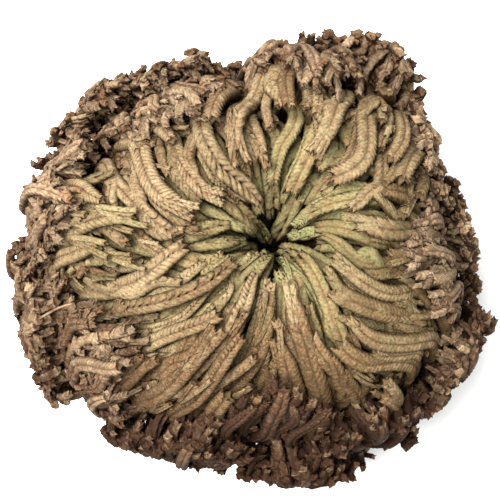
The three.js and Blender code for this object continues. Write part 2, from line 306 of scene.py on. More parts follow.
class Frond:
    """One frond's place in the rosette, how far it reaches and how it turns."""

    def __init__(self, index):
        self.index = index
        self.age = index / (FROND_COUNT - 1)
        self.kind = next(kind for kind in KINDS if self.age <= kind["until"])
        self.old = self.kind["name"] == "old"
        self.degrees = FIRST_AZIMUTH + index * GOLDEN_ANGLE
        self.azimuth = math.radians(self.degrees)
        self.turn = lerp(-1, 1, draw(index, 703))
        for centre, spread, turn in TURNED:
            self.turn = lerp(self.turn, turn, felt(self.degrees, centre, spread))
        self.sway = math.radians(SWAY * lerp(-1, 1, draw(index, 1)))
        low_side = felt(self.degrees, LOW_SIDE["azimuth"], LOW_SIDE["spread"])
        low = low_side * LOW_SIDE["least"] * (1 - smoothstep(self.age, *LOW_SIDE["until"]))
        reach = spline([(t, 0) for t in REACH], self.age)[0]
        self.tip = float(reach - low) + REACH_SPREAD * (draw(index, 2) - 0.5)
        steps = curl(np.linspace(0, 1, 49), self.age)
        self.length = float(np.linalg.norm(np.diff(steps, axis=0), axis=1).sum())

    def settled(self, t, sideways, outwards):
        """Settled points t along the frond, moved sideways and outwards by millimetres."""
        t, sideways, outwards = np.broadcast_arrays(t, sideways, outwards)
        here = curl(t, self.age)
        run = curl(t + 0.004, self.age) - curl(t - 0.004, self.age)
        run /= np.linalg.norm(run, axis=-1, keepdims=True)
        azimuth = self.azimuth + self.sway * np.sin(math.pi * np.minimum(t, 1))
        azimuth = azimuth + sideways * squeeze(here[..., 0]) / here[..., 0]
        radius = here[..., 0] + outwards * run[..., 1]
        height = here[..., 1] - outwards * run[..., 0]
        points = settle(np.stack([radius * np.cos(azimuth), radius * np.sin(azimuth), height], axis=-1))
        points[..., 2] -= (1 - CEILING["keeps"]) * np.maximum(points[..., 2] - CEILING["height"], 0)
        return points

    def lines(self, t, sideways, outwards):
        """Settled points for the middles of branches, and the same points a little further out."""
        return self.settled(t, sideways, outwards), self.settled(t, sideways, outwards + OUTER)

    def chance(self, keys, trait):
        """A draw of this frond's own for each key."""
        return draw(self.index * 61 + np.asarray(keys, float), trait)


# ---- Mesh work ----


class Growth:
    """Gathers tubes into one mesh, with a finish for each point: lightness as painted shade, green, tone,
    rust.
    """

    def __init__(self):
        self.points, self.finish, self.faces, self.count = [], [], [], 0

    def add(self, rings, finish, ends, end_finish):
        """Closed tubes: rings (k, n, m, 3), finish (k, n, m, 4), and a point in either cap (k, 2, 3)."""
        k, n, m, _ = rings.shape
        points = np.concatenate([rings.reshape(k, n * m, 3), ends], axis=1)
        finish = np.concatenate([finish.reshape(k, n * m, 4), end_finish], axis=1)
        i = np.arange(n - 1)[:, None] * m
        j = np.arange(m)[None, :]
        after = (j + 1) % m
        a, b, c, d = i + j, i + after, i + m + after, i + m + j
        first = np.stack([np.full(m, n * m), after[0], j[0]], -1)
        last = np.stack([np.full(m, n * m + 1), (n - 1) * m + j[0], (n - 1) * m + after[0]], -1)
        sides = [np.stack(corners, -1).reshape(-1, 3) for corners in ((a, b, c), (a, c, d))]
        faces = np.concatenate([*sides, first, last])
        starts = self.count + np.arange(k)[:, None, None] * (n * m + 2)
        self.points.append(points.reshape(-1, 3))
        self.finish.append(finish.reshape(-1, 4))
        self.faces.append((faces[None] + starts).reshape(-1, 3))
        self.count += k * (n * m + 2)

    def to_object(self, name, material):
        """The mesh object, in metres, with its finish as a colour attribute."""
        points = np.concatenate(self.points) * MILLIMETRE
        faces = np.concatenate(self.faces)
        mesh = bpy.data.meshes.new(name)
        mesh.vertices.add(len(points))
        mesh.vertices.foreach_set("co", points.astype(np.float32).ravel())
        mesh.loops.add(faces.size)
        mesh.loops.foreach_set("vertex_index", faces.astype(np.int32).ravel())
        mesh.polygons.add(len(faces))
        mesh.polygons.foreach_set("loop_start", np.arange(0, faces.size, 3, dtype=np.int32))
        mesh.polygons.foreach_set("use_smooth", np.ones(len(faces), dtype=bool))
        mesh.update(calc_edges=True)
        layer = mesh.color_attributes.new("finish", "FLOAT_COLOR", "POINT")
        layer.data.foreach_set("color", np.concatenate(self.finish).astype(np.float32).ravel())
        mesh.materials.append(material)
        return place_object(name, mesh)


def place_object(name, data):
    thing = bpy.data.objects.new(name, data)
    bpy.context.collection.objects.link(thing)
    return thing


def unit(v):
    return v / np.maximum(np.linalg.norm(v, axis=-1, keepdims=True), 1e-9)


def sample(values, places):
    """Values (k, n, ...) read at places from 0 to 1 along their second axis, straight between two."""
    spot = places * (values.shape[1] - 1)
    low = np.minimum(spot.astype(int), values.shape[1] - 2)
    w = (spot - low).reshape(-1, *[1] * (values.ndim - 2))
    return values[:, low] * (1 - w) + values[:, low + 1] * w


def scaly(
    growth, line, outer, half, rise, look, rows, buried=0.0, around=SEAMED, scale=PLAIN_SCALE, tooth=0.5,
):
    """Branches covered in rows of pointed scale leaves, and ragged at the tip.

    line (k, n, 3) holds their middles and outer the same points a little further out. Each is cut into rows
    of scales, three times as long over the buried share. A row is a few rings: tucked in at its base, and
    standing proud at its tip, where the next base starts behind it. A ring is a flattened ellipse, half
    wide and rise high, both (k, n), dented along the top by the look's groove. Its sides run forward by a
    skew, one of them half a row further, so that the rows meet in a broken V. The last ring is cut into
    teeth, opened by the look's flare and made uneven by its crumple. A smaller one lies inside it, and the
    cap is sunk into that by the look's hollow. A braided look has its scales in a checkerboard, each beside
    a gap of the next column, instead. The finish carries painted shade: lightest on top of a scale, it is
    painted dark at the scale's base, on the branch's sides, in the seam and inside a hollow tip, and the
    look's light adds painted shade by place. It is rusty beside the seam.
    """
    k, sides = len(line), len(around)

    def own(key, axes=1):
        """What the look says for each branch, with that many axes after it."""
        return np.broadcast_to(look[key], (k,)).reshape(k, *[1] * axes)

    bare = buried / 3
    ends = np.interp(
        np.linspace(0, bare + 1 - buried, rows + 1), [0, bare, bare + 1 - buried], [0, buried, 1],
    )
    row = (np.arange(rows)[:, None] + scale[:, 0]).ravel().clip(0, rows)
    place = np.interp(row, np.arange(rows + 1), ends)
    relief = own("relief") * lerp(1, TIP_RELIEF["times"], smoothstep(place, TIP_RELIEF["start"], 1))
    braid = own("braid", 2)
    beside = (np.repeat(np.arange(rows), len(scale))[:, None] + np.arange(sides)) % 2
    full = 1 - GAP * braid * beside
    bulge = 1 + RELIEF * relief[..., None] * np.tile(scale[:, 1], rows)[:, None] * full
    # Painted shade at the base of each scale, where it tucks under the one before, less in the gaps of a
    # braid.
    dark = (1 - np.tile(scale[:, 2], rows))[:, None] * full

    centre, away = sample(line, place), sample(outer, place)
    spans = np.linalg.norm(np.diff(sample(line, ends), axis=1), axis=-1)
    span = np.repeat(spans, len(scale), axis=1)[..., None]
    behind, ahead = np.maximum(place - 0.5 / rows, 0), np.minimum(place + 0.5 / rows, 1)
    along = unit(sample(line, ahead) - sample(line, behind))
    side = unit(np.cross(along, away - centre))
    up = np.cross(side, along)

    cos, sin = np.cos(around), np.sin(around)
    groove = own("groove", 2)
    seam = groove * (sin > TOPMOST)
    shoulder = groove * ((sin > BESIDE_TOPMOST) & (sin < TOPMOST))
    wide = sample(half, place)[..., None] * bulge * cos
    tall = sample(rise, place)[..., None] * bulge * sin * (1 - seam - SHOULDER * shoulder)
    turn = np.where(np.arange(sides) // 2 % 2, 1, -1)
    settling = np.clip(np.minimum(row, rows - row) / 2, 0, 1)[:, None]
    skew = lerp(SKEW, BRAIDED_SKEW, braid) * settling
    stagger = STAGGER * lerp(np.sign(np.round(cos, 3)), turn, braid)
    forward = span * (skew * (np.abs(cos) - 0.5) + stagger)
    point = np.arange(forward.shape[1])[None, :, None] + 0.37 * np.arange(sides)
    stray = draw(point, look["seed"][:, None, None])
    forward += STRAY * span * (stray - 0.5)
    forward[:, 0] = 0
    wide, tall = wide * lerp(*UNEVEN, stray), tall * lerp(*UNEVEN, stray)

    size = half[:, -1][:, None]
    every_other = np.arange(sides) % 2
    ragged = lerp(*TEETH["ragged"], draw(np.arange(sides)[None], look["seed"][:, None]))
    teeth = tooth * size * np.where(every_other, TEETH["back"], 1.0) * ragged
    forward[:, -1] = teeth
    crumpled = draw(np.arange(sides) + 20, look["seed"][:, None])
    flare = own("flare") * (1 + TEETH["flare"] * np.where(every_other, -1, 1))
    flare = flare * lerp(1 - look["crumple"], 1 + look["crumple"], crumpled)
    wide[:, -1] *= flare
    tall[:, -1] *= flare

    def ring_at(w, h, f, at):
        return (
            centre[:, at, None] + side[:, at, None] * w[..., None] + up[:, at, None] * h[..., None]
            + along[:, at, None] * f[..., None]
        )

    hollow = own("hollow")
    inner = TEETH["inner"]
    depth = TEETH["follow"] * teeth + size * lerp(*TEETH["sink"], hollow)
    last = ring_at(inner * wide[:, -1:], inner * tall[:, -1:], depth[:, None], slice(-1, None))
    rings = np.concatenate([ring_at(wide, tall, forward, slice(None)), last], axis=1)

    finish = np.empty(rings.shape[:3] + (4,))
    # Painted shade on the sides of a branch, lightest along its top; the look's edge draws it further up.
    shade = lerp(0.05, 1, smoothstep(sin, lerp(-0.1, 0.5, own("edge", 2)), 0.85))
    # Lightness: painted shade at the scale bases and on the branch sides, with a little random mottle.
    shade_and_mottle = (1 - own("contrast", 2) * dark) * shade * lerp(0.85, 1, stray)
    # The seam is painted darker, as the shade in its groove.
    finish[:, :-1, :, SHADE_AND_MOTTLE] = shade_and_mottle * (1 - 1.6 * seam)
    # The ring inside the tip is painted darker for a hollow tip, as the shade inside it.
    finish[:, -1, :, SHADE_AND_MOTTLE] = lerp(0.9, 0.35, hollow)
    for channel, key in ((GREEN, "green"), (TONE, "tone"), (RUST, "rust")):
        values = sample(np.broadcast_to(look[key], half.shape), place)[..., None]
        finish[:, :-1, :, channel] = values
        finish[:, -1, :, channel] = values[:, -1]
    finish[:, :-1, :, GREEN] *= lerp(1.25, 0.75, smoothstep(sin, 0.2, 1))
    finish[:, :-1, :, RUST] += 1.2 * shoulder * smoothstep(stray, 0.3, 0.8)
    finish[:, -1, :, RUST] = lerp(finish[:, -1, :, RUST], 1, 0.3)
    # The look's light is painted shade by place.
    light = sample(np.broadcast_to(look["light"], half.shape), place)[..., None]
    finish[..., SHADE_AND_MOTTLE] *= np.concatenate([light, light[:, -1:]], axis=1)

    sunk = size * lerp(*CAP_SINK, hollow)
    caps = np.stack([centre[:, 0] - along[:, 0] * 0.2, centre[:, -1] - along[:, -1] * sunk], axis=1)
    cap_finish = finish[:, [0, -1], 0].copy()
    # The cap of a hollow tip is painted dark, as the shade deep inside it.
    cap_finish[:, 1, SHADE_AND_MOTTLE] = lerp(0.8, 0.1, hollow[:, 0])
    growth.add(rings, finish, caps, cap_finish)


def full_then(share, root, tip, root_span=0.15, tip_span=0.3):
    """1 over most of the way, coming up from root over the first span and down to tip over the last."""
    return lerp(root, 1, smoothstep(share, 0, root_span)) * lerp(1, tip, smoothstep(share, 1 - tip_span, 1))


# ---- Fronds ----


def look_of(frond, keys, t, tip_rust):
    """The finish of some branches of a frond: brown low down, greener with youth and near the pit.

    A look holds what scaly reads. Its green, tone, which is brown, rust and light run along the branch. The
    light is painted shade by place, and the tone holds painted light and shade besides the fronds' own
    brown.
    """
    radius = curl(t, frond.age)[..., 0]
    youth = smoothstep(frond.age, *YOUTH)
    own = columns(frond.chance, keys)
    green = youth * (0.15 + 0.6 * own(11)) + 0.35 * youth * smoothstep(-radius, -20, -5)
    if not frond.old:
        green = green + all_felt(frond.degrees, GREENS) * (1 - smoothstep(radius, *GREEN_UNTIL))
    share = np.linspace(0, 1, t.shape[1])
    rust = 0.2 * own(12) ** 2 + tip_rust * smoothstep(share, 0.85, 1)
    worn = smoothstep(-t, -0.56, -0.4) * lerp(1, 0.6, youth)
    # Browner or paler by azimuth, partly the fronds' own colour and partly painted light and shade.
    toned_and_painted_light = all_felt(frond.degrees, OLD_TONES_AND_PAINTED_LIGHT if frond.old else TONES_AND_PAINTED_LIGHT) * smoothstep(radius, *TONED)
    # Painted shade by place; where it sums below nothing it makes the ropes paler, as painted light.
    painted_shade = sum(
        amount * felt(frond.degrees, *where) * smoothstep(radius, *reach) for where, reach, amount in PAINTED_SHADE_ZONES
    )
    tone = 0.95 * own(13) ** 1.5 * (1 - 0.5 * worn) + 0.75 * worn
    crisp = frond.chance(keys, 14)
    return dict(
        seed=frond.index * 31 + np.asarray(keys, float),
        # The tone carries painted light too: the browner or paler places, and paler ropes where the painted
        # shade is below nothing.
        tone=tone + toned_and_painted_light + np.minimum(painted_shade, 0),
        # How deep the painted shade at the base of each scale is.
        contrast=lerp(0.3, 0.6, crisp) * lerp(1, 0.3, youth),
        relief=lerp(0.5, 1.2, crisp) * lerp(1, 0.35, youth),
        groove=0.4 * smoothstep(frond.chance(keys, 15), 0.4, 0.65) * lerp(1, 0.6, youth),
        # The light is painted shade by place.
        light=np.clip(1 - painted_shade, 0, 1),
        # Where the painted shade on the sides of the ropes goes deeper.
        edge=felt(frond.degrees, *DEEPER_SIDE_SHADE) * (not frond.old),
        hollow=1.0,
        flare=1.0,
        crumple=0.1,
        braid=np.round(lerp(0.1, 1, frond.chance(keys, 16))),
        green=np.clip(green, 0, 1),
        rust=np.clip(rust, 0, 1),
    )


def pale_tips(look, tipped):
    """Takes the brown and the shade off where tipped nears 1."""
    look["tone"] = look["tone"] * (1 - 0.75 * tipped)
    look["light"] = lerp(look["light"], 1, 0.9 * tipped)


def ropes(growth, frond, keys, t, lane, lift, half, forked=0.0, buried=0.0, size=1.0, drier=0.0):
    """Scaly ropes along a frond that wander a little, with tips that stand up, turn aside or fork.

    t, lane and lift are (k, n): the way along the curl, the sideways place, and the height over the curl.
    The wandering is a sine over the way, with a phase and a length of each rope's own. Towards the tips all
    ropes of a frond bend to its own side.
    """
    share = np.linspace(0, 1, t.shape[1])[None]
    own = columns(frond.chance, keys)
    free = smoothstep(share, 0.3, 0.6)
    lane = lane + free * WANDER * np.sin(share * lerp(*WANDER_WAVES, own(21)) + WAVE_PHASES * own(22))
    lane = lane + TIP_SPLAY * lerp(-1, 1, own(23)) * smoothstep(share, 0.75, 1)
    bent = smoothstep(t, BEND_FROM["t"], frond.tip) * (frond.age > BEND_FROM["age"])
    lane = lane + BEND * frond.turn * bent
    lift = lift + free * RIPPLE * np.sin(share * lerp(*RIPPLE_WAVES, own(24)) + WAVE_PHASES * own(25))
    lift = lift + lerp(*TIP_LIFT, own(26)) * smoothstep(share, 0.7, 1)
    narrow = np.maximum(squeeze(curl(t, frond.age)[..., 0]), NARROWEST)
    taper = TAPER / ((t[:, -1:] - t[:, :1]) * frond.length)
    tapered = full_then(share, 0.5, lerp(0.5, 1, own(36)), tip_span=taper)
    width = half * narrow * lerp(*ROPE_WIDTHS, own(27)) * tapered
    lowered = full_then(share, 0.5, 0.75, tip_span=taper)
    height = ROPE["rise"] * size * lerp(*ROPE_HEIGHTS, own(28)) * lowered

    look = look_of(frond, keys, t, 0.2)
    look["green"] = np.clip(look["green"] * (1 - 2 * drier), 0, 1)
    look["groove"] = np.maximum(look["groove"], np.where(np.ravel(drier) > 0, DRY_GROOVE, 0))
    if frond.old:
        pale_tips(look, 0.5 * smoothstep(own(63), 0.1, 0.6) * smoothstep(share, 0.8, 1))
    line, outer = frond.lines(t, lane, lift)
    length = np.linalg.norm(np.diff(line, axis=1), axis=-1).sum(1).mean()
    rows = int(length * (1 - buried * 2 / 3) / ROPE["row"] / (ROPE["old_row"] if frond.old else 1))
    braided = frond.kind["name"] == "middle" and felt(frond.degrees, *SMOOTH_SIDE) < 0.5
    scale = FINE_SCALE if braided else PLAIN_SCALE
    scaly(growth, line, outer, width, height, look, max(rows, 4), buried, scale=scale)

    prongs = np.flatnonzero(frond.chance(keys, 29) < forked)
    if not len(prongs):
        return
    back = PRONG["back"] * lerp(*PRONG["backs"], frond.chance(keys, 30))[prongs][:, None]
    w = np.linspace(0, 1, PRONG["points"])[None]
    tip, full = t[prongs, -1:], full_then(w, 0.7, 1)
    for hand in (-1, 1):
        on = PRONG["on"] * lerp(*PRONG["ons"], own(31 + hand)[prongs])
        along = lerp(tip - back, tip + on, w)
        aside = lane[prongs, -1:] + hand * lerp(*PRONG["aside"], w)
        above = lift[prongs, -1:] + PRONG["up"] + PRONG["rise"] * w * own(34 + hand)[prongs]
        look = look_of(frond, np.asarray(keys)[prongs] + 200 * (1.5 + hand), along, 0.2)
        scaly(
            growth, *frond.lines(along, aside, above), PRONG["width"] * width[prongs, -1:] * full,
            PRONG["height"] * height[prongs, -1:] * full, look, PRONG["rows"], scale=FINE_SCALE,
        )


def bundle(growth, frond):
    """The rib and the strands beside it, on the lanes of the solids. Returns their paths."""
    kind = frond.kind
    rank = np.array([0] + [n for n in range(1, kind["ranks"] + 1) for _ in (0, 1)])
    side = np.array([0] + [-1, 1] * kind["ranks"])
    keys = 20 + 3 * rank + side
    early = kind["short"] * rank**2 + REACH_SPREAD * draw(frond.index, keys)
    tip = frond.tip - OPENING * smoothstep(frond.age, *OPENED)
    end = np.where(rank == 0, tip, np.minimum(tip - early, STRAND_ENDS[rank]))
    start = np.where(rank == 0, 0.0, STRAND["start"] - STRAND["apart"] * rank)
    share = np.linspace(0, 1, POINTS)[None]
    swing = (STRAND["swing"] * (rank + 1.5) / (end - start))[:, None]
    t = lerp(start[:, None], end[:, None], share)
    lane = (side * rank * STRAND["pitch"] * kind["wider"])[:, None] * smoothstep(share / swing, 0, 1)
    out = (kind["flick"] * draw(frond.index, keys + 30))[:, None] * smoothstep(share, 0.6, 1)
    over = np.where((side * rank + frond.index) % 2, 1, -1)[:, None]
    lift = ROPE["lift"] + out + WEAVE["lift"][kind["name"]] * over * smoothstep(share, 0.1, 0.4)
    lift = lift - DIVE * (rank > 0)[:, None] * (1 - squeeze(curl(t, frond.age)[..., 0]))
    wider = WEAVE["wider"][kind["name"]] * over
    half = ROPE["half"] * (ROPE["old_half"] if frond.old else 1) * (1 + wider)
    ropes(
        growth, frond, keys, t, lane, lift, half, kind["forked"], kind["buried"],
        size=1 + wider / 2, drier=WEAVE["drier"] * over,
    )
    return np.broadcast_arrays(t, lane, ROPE["lift"] + out)


def shoots(growth, frond):
    """Short loose shoots that come up between the ropes and lie over them."""
    count = frond.kind["shoots"]
    if not count:
        return
    keys = 300 + np.arange(count)
    own = columns(frond.chance, keys)
    share = np.linspace(0, 1, POINTS // 2)[None]
    end = frond.tip - lerp(*SHOOT["before"], own(41))
    start = end - lerp(*SHOOT["length"], own(42))
    across = STRAND["pitch"] * frond.kind["ranks"] * lerp(*SHOOT["across"], own(43))
    lane = across + lerp(*SHOOT["crossing"], own(44)) * share
    lift = ROPE["lift"] + lerp(*SHOOT["climb"], smoothstep(share, 0, 0.45)) * np.ones_like(lane)
    ropes(
        growth, frond, keys, lerp(start, end, share), lane, lift, SHOOT["half"] * ROPE["half"],
        SHOOT["forked"],
    )


def along_paths(paths, strand, spot):
    """Where a share spot of the way along the strand lies: t, lane and lift, each (k, 1)."""
    x = spot * (paths[0].shape[1] - 1)
    low = np.minimum(x.astype(int), paths[0].shape[1] - 2)
    return [(v[strand, low] * (1 - x + low) + v[strand, low + 1] * (x - low))[:, None] for v in paths]


def sprig_places(frond, t, thin):
    """Where sprigs leave a frond's strands: the share of the way, the strand, and 1 for those of a tuft.

    They come at even steps along each strand, closer low down and where the wall is thin.
    """
    spots, strands, tufted = [], [], []

    def add(spot, strand, in_tuft):
        spots.append(spot)
        strands.append(np.full(len(spot), strand))
        tufted.append(np.full(len(spot), float(in_tuft)))

    lengths = (t[:, -1] - t[:, 0]) * frond.length
    for k, length in enumerate(lengths):
        last = length - 2 if frond.old else (FEATHER["middle_until"] - t[k, 0]) * frond.length
        low_end = min(last, (lerp(*FEATHER["low_until"], thin[k]) - t[k, 0]) * frond.length)
        low = np.arange(FEATHER["first"][k > 0], low_end, lerp(*FEATHER["low_near"], thin[k]))
        high = np.arange(max(low_end, 3), last, lerp(*FEATHER["high_near"], thin[k] * frond.old))
        add(np.concatenate([low, high]) / length, k, False)
        if frond.old:
            add(1 - TUFT / length, k, True)
    add(np.arange(*CLOSING_SPRIGS) / lengths[0], 0, False)
    return np.concatenate(spots), np.concatenate(strands), np.concatenate(tufted)[:, None]


def sprigs(growth, frond, paths):
    """Short ragged branchlets: feathers along the rib and strands, and on old fronds a tuft round each tip.

    A sprig leaves its strand at a slant, turns back half way towards the run of the strand, and climbs off
    the frond with the square of its length, or leans into the ball in proportion to it. Feathers lie in the
    plane of the frond, left and right in turn, longer low on the rib. Middle fronds have them low down
    alone, where they close the ball from below. Those of a tuft lean away from the strand all round, most
    of them inwards. Where the wall is thin, sprigs are closer, longer, and lean further in. Many have a
    pale tip.
    """
    place = frond.degrees + np.degrees(paths[1][:, -1] / WALL_RADIUS)
    thin = np.minimum(sum(felt(place, *where) for where in THIN_WALL), 1)
    spot, strand, tufted = sprig_places(frond, paths[0], thin)
    number = np.arange(len(spot))
    own = columns(frond.chance, number * 1.7 + 400)
    t0, lane0, lift0 = along_paths(paths, strand, spot)
    low_rib = ((strand == 0) * (1 - smoothstep(spot, 0.5, 0.8)))[:, None]
    hand = np.where(number % 2, 1, -1)[:, None]
    w = np.linspace(0, 1, SPRIG["points"])[None]

    thinness = thin[strand][:, None]
    inward = own(48) < lerp(*FEATHER["inward"], thinness)
    edge = (frond.kind["ranks"] - 0.5) * STRAND["pitch"] * frond.kind["wider"]
    outermost = (np.abs(lane0) > edge) * (hand == np.sign(lane0))
    length = lerp(*FEATHER["length"], own(52)) * lerp(1, FEATHER["low_rib"], low_rib)
    length = length * lerp(1, FEATHER["outermost"], outermost)
    length = length * lerp(1, FEATHER["thin_inward"], thinness * inward)
    heading = hand * lerp(*FEATHER["slant"], own(51)) * (1 - FEATHER["turns_back"] * w)
    least, full_wall, thin_wall = FEATHER["leans"]
    leans = lerp(least, lerp(full_wall, thin_wall, thinness), own(53))
    feather_ahead, feather_aside = length * w * np.cos(heading), length * w * np.sin(heading)
    feather_climb = np.where(inward, leans * w, lerp(*FEATHER["climb"], own(53)) * w * w)

    around = FULL_TURN * own(56)
    lean = lerp(*TUFTED["lean"], own(57)) * np.sin(math.pi / 2 * w)
    tuft_ahead = lerp(*TUFTED["length"], own(52)) * w
    tuft_aside = TUFTED["aside"] * lean * np.cos(around)
    tuft_climb = lean * (TUFTED["up"] * np.sin(around) - TUFTED["inward"])

    t = t0 + lerp(feather_ahead, tuft_ahead, tufted) / frond.length
    lane = lane0 + lerp(feather_aside, tuft_aside, tufted)
    lift = lift0 + lerp(feather_climb, tuft_climb, tufted)
    half = lerp(*SPRIG["half"], own(55)) * full_then(w, 0.75, 0.7) * lerp(1, SPRIG["inward_half"], inward)
    look = look_of(frond, number + 400, t, 0.15)
    pale_tips(look, smoothstep(own(63), 0.35, 0.75) * smoothstep(w, 0.45, 0.95))
    look.update(
        # Sprigs carry a deeper painted shade at the base of each scale.
        relief=lerp(1, 2.4, own(58)[:, 0]), contrast=lerp(0.4, 0.9, own(59)[:, 0]),
        rust=np.clip(look["rust"] + 0.7 * smoothstep(own(62), 0.75, 1), 0, 1),
        hollow=lerp(0.5, 1, own(60)[:, 0]), flare=lerp(0.85, 1.2, own(49)[:, 0]), crumple=0.5,
    )
    scaly(
        growth, *frond.lines(t, lane, lift), half, SPRIG["rise"] * half, look, SPRIG["rows"],
        around=PLAIN, tooth=SPRIG["tooth"],
    )


def stray_stem(growth, frond):
    """A thin dead stem caught across the rim: a straight taper with a slight bow, lying on the frond."""
    share = np.linspace(0, 1, 24)[None]
    t, lane = lerp(*STEM["t"], share), lerp(*STEM["lane"], share)
    lift = lerp(*STEM["lift"], share) + STEM["bow"] * np.sin(math.pi * share)
    look = look_of(frond, [900], t, 0.0)
    # The stem carries only a faint painted shade at the base of each scale.
    look.update(tone=0 * share, rust=0.6 - 0.3 * share, contrast=0.1, relief=0.3, groove=0.0)
    half = STEM["half"] * lerp(1, STEM["tip"], share)
    scaly(growth, *frond.lines(t, lane, lift), half, half, look, 12, around=ROUND, tooth=0.3)


def dress_frond(frond, materials):
    """One frond's piece, with all that it carries at its age."""
    growth = Growth()
    paths = bundle(growth, frond)
    shoots(growth, frond)
    if frond.kind["name"] != "young":
        sprigs(growth, frond, paths)
    if frond.index == STEM["frond"]:
        stray_stem(growth, frond)
    name, kind = f"frond_{frond.index + 1:02d}", frond.kind["name"]
    piece = growth.to_object(f"scaly_{name}", materials[kind])
    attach(piece, "root")
    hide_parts(name)


# ---- Crown and roots ----

CROWN_PROFILE = [
    (0.3, 0.02), (7, 0), (11, 0.05), (12.9, 1.1), (12.4, 3),
    (9.6, 4.5), (7.9, 7.4), (5.6, 14.8), (3.2, 21.8), (0.4, 22.8),
]
CROWN_GRID = (120, 90)  # points round it and from the foot to the top
CROWN_ENDS = (0.3, 22.9)  # the heights of its lowest and its highest middle
FIBRES = dict(coarse=(17, 0.22), fine=(41, 0.12), twist=0.8, inset=0.25)  # how many, and how high

ROOT_POINTS = 18
ROOTLETS = dict(
    count=170, heights=(0.6, 6.5), reach=(2.5, 6.5), wander=(-0.4, 0.4), waver=0.1, half=(0.22, 0.5),
    tip=0.55,
)
MAT_SIDE = ([0, 1, 3, 4.5, 7.4], [10.5, 12.2, 11.6, 9, 7.4])  # heights, and where rootlets leave it there
PRESSED_ROOTS = dict(
    count=110, inner=8, outer=(10.5, 12.6), turn=(-1.6, 1.6), waver=0.25, half=(0.2, 0.42),
)


def crown_core(growth):
    """The crown on its mat: a profile turned round the axis, ribbed by fibres that run down and twist.

    Each fibre is a wave over the angle whose phase drifts with height, and a second, finer one crosses it.
    The fibres are painted lighter on their ridges and darker in their grooves, as light and shade, and the
    crown is painted dark from 7 mm up, as the shade inside the ball.
    """
    around, rows = CROWN_GRID
    (coarse, coarse_height), (fine, fine_height) = FIBRES["coarse"], FIBRES["fine"]
    u = np.linspace(0, 1, rows)
    profile = spline(CROWN_PROFILE, u)
    angle = -np.linspace(0, FULL_TURN, around, endpoint=False)
    twist = angle[None] + FIBRES["twist"] * u[:, None]
    fibre = coarse_height * np.sin(coarse * twist + 3 * np.sin(5 * u[:, None]))
    fibre = fibre + fine_height * np.sin(fine * twist - 9 * u[:, None])
    free = smoothstep(profile[:, :1], 0.5, 4) * smoothstep(profile[:, 1:], 0.2, 2)
    radius = profile[:, :1] + (fibre - FIBRES["inset"]) * free
    height = np.broadcast_to(np.maximum(profile[:, 1:], CROWN_ENDS[0]), radius.shape)
    rings = np.stack([radius * np.cos(angle), radius * np.sin(angle), height], -1)
    finish = np.zeros(rings.shape[:2] + (4,))
    # Painted light and shade: lighter on the fibres' ridges, darker in their grooves, and dark from 7 mm up
    # as the shade inside the ball.
    finish[..., SHADE_AND_MOTTLE] = (0.45 + 1.4 * fibre * free) * lerp(1, 0.1, smoothstep(height, 7, 12))
    finish[..., TONE] = 0.6
    ends = np.array([[(0, 0, z) for z in CROWN_ENDS]])
    growth.add(rings[None], finish[None], ends, finish[[0, -1], 0][None])


def roots(growth, seed, radius, azimuth, height, half):
    """Fine roots along paths (k, n) given as radius, azimuth and height."""
    line = np.stack([radius * np.cos(azimuth), radius * np.sin(azimuth), height], axis=-1)
    look = dict(
        # Painted shade at the base of each scale, and no deeper shade on the sides.
        seed=seed, contrast=0.3 + 0.4 * draw(seed, 69), relief=1.0, groove=0.0, edge=0.0, hollow=0.5,
        flare=1.0, crumple=0.2, braid=1.0, light=1.0, green=0.0,
        tone=draw(seed, 68)[:, None] * np.ones_like(radius),
        rust=0.3 * draw(seed, 70)[:, None] ** 2 * np.ones_like(radius),
    )
    scaly(growth, line, line + (0, 0, OUTER), half, half, look, 12, around=ROUND, tooth=0.1)


def rootlets(growth):
    """Roots that leave the mat, cross one another and come down to lie beside the flat spot.

    A root goes out with the share of its way, sinks with a power of it, and wavers by a sine to the side.
    """
    number = np.arange(ROOTLETS["count"]) * 1.0
    own = columns(draw, number)
    w = np.linspace(0, 1, ROOT_POINTS)[None]
    azimuth = FULL_TURN * (number[:, None] + own(61)) / ROOTLETS["count"]
    start_height = lerp(*ROOTLETS["heights"], own(62) ** 2)
    inner = np.interp(start_height, *MAT_SIDE)
    radius = lerp(inner, inner + lerp(*ROOTLETS["reach"], own(63)), w)
    waver = ROOTLETS["waver"] * np.sin(lerp(6, 14, own(65)) * w + WAVE_PHASES * own(66)) * w
    wander = lerp(*ROOTLETS["wander"], own(64)) * w + waver
    half = lerp(*ROOTLETS["half"], own(67)) * lerp(1, ROOTLETS["tip"], w)
    sinking = lerp(start_height, 0.3, np.minimum(1, 1.25 * w) ** 1.3) + 0.5 * np.sin(math.pi * w)
    roots(growth, number, radius, azimuth + wander, np.maximum(sinking, half + 0.12), half)


def pressed_roots(growth):
    """Roots pressed flat under the mat, which make the spot it rests on.

    A root runs from some way out to the edge at a steady pace, and turns by a sine as it goes.
    """
    number = np.arange(PRESSED_ROOTS["count"]) + 500.0
    own = columns(draw, number)
    w = np.linspace(0, 1, ROOT_POINTS)[None]
    radius = lerp(PRESSED_ROOTS["inner"] * own(71) ** 0.5, lerp(*PRESSED_ROOTS["outer"], own(72)), w)
    waver = PRESSED_ROOTS["waver"] * np.sin(lerp(4, 9, own(75)) * w + WAVE_PHASES * own(76))
    azimuth = FULL_TURN * own(73) + lerp(*PRESSED_ROOTS["turn"], own(74)) * w + waver
    half = lerp(*PRESSED_ROOTS["half"], own(77)) * np.ones_like(w)
    roots(growth, number, radius, azimuth, 1.15 * half + 0.15 * own(78), half)


def dress_crown(materials):
    """The crown's piece, with its mat and its roots."""
    growth = Growth()
    crown_core(growth)
    rootlets(growth)
    pressed_roots(growth)
    piece = growth.to_object("matted_roots", materials["root"])
    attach(piece, "root")
    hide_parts("root_crown")


# ---- Finishes ----

